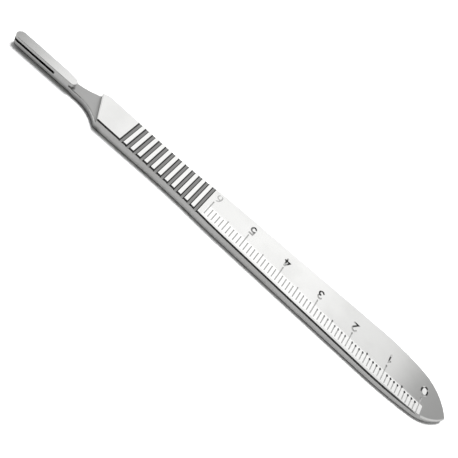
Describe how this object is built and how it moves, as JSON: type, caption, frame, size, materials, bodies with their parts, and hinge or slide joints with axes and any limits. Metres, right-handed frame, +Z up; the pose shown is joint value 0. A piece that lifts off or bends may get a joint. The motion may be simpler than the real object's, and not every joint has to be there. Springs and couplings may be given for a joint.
{
  "type": "scalpel handle",
  "caption": "Flat stainless steel scalpel handle with a narrow blade fitting, ribbed grip and engraved ruler scale, for detachable surgical blades.",
  "frame": {"origin": "middle of the length and width, on the flat back that it rests on", "axes": "+X along the handle towards the rounded tail, with the blade fitting at -X; +Z up, out of the graduated face; +Y across the handle, away from the edge that carries the scale"},
  "size_m": [0.1206, 0.0124, 0.003],
  "materials": {
    "steel": "satin stainless steel, lightly reflective"
  },
  "bodies": {
    "root": {"scalpel_handle": "steel"}
  },
  "joints": []
}
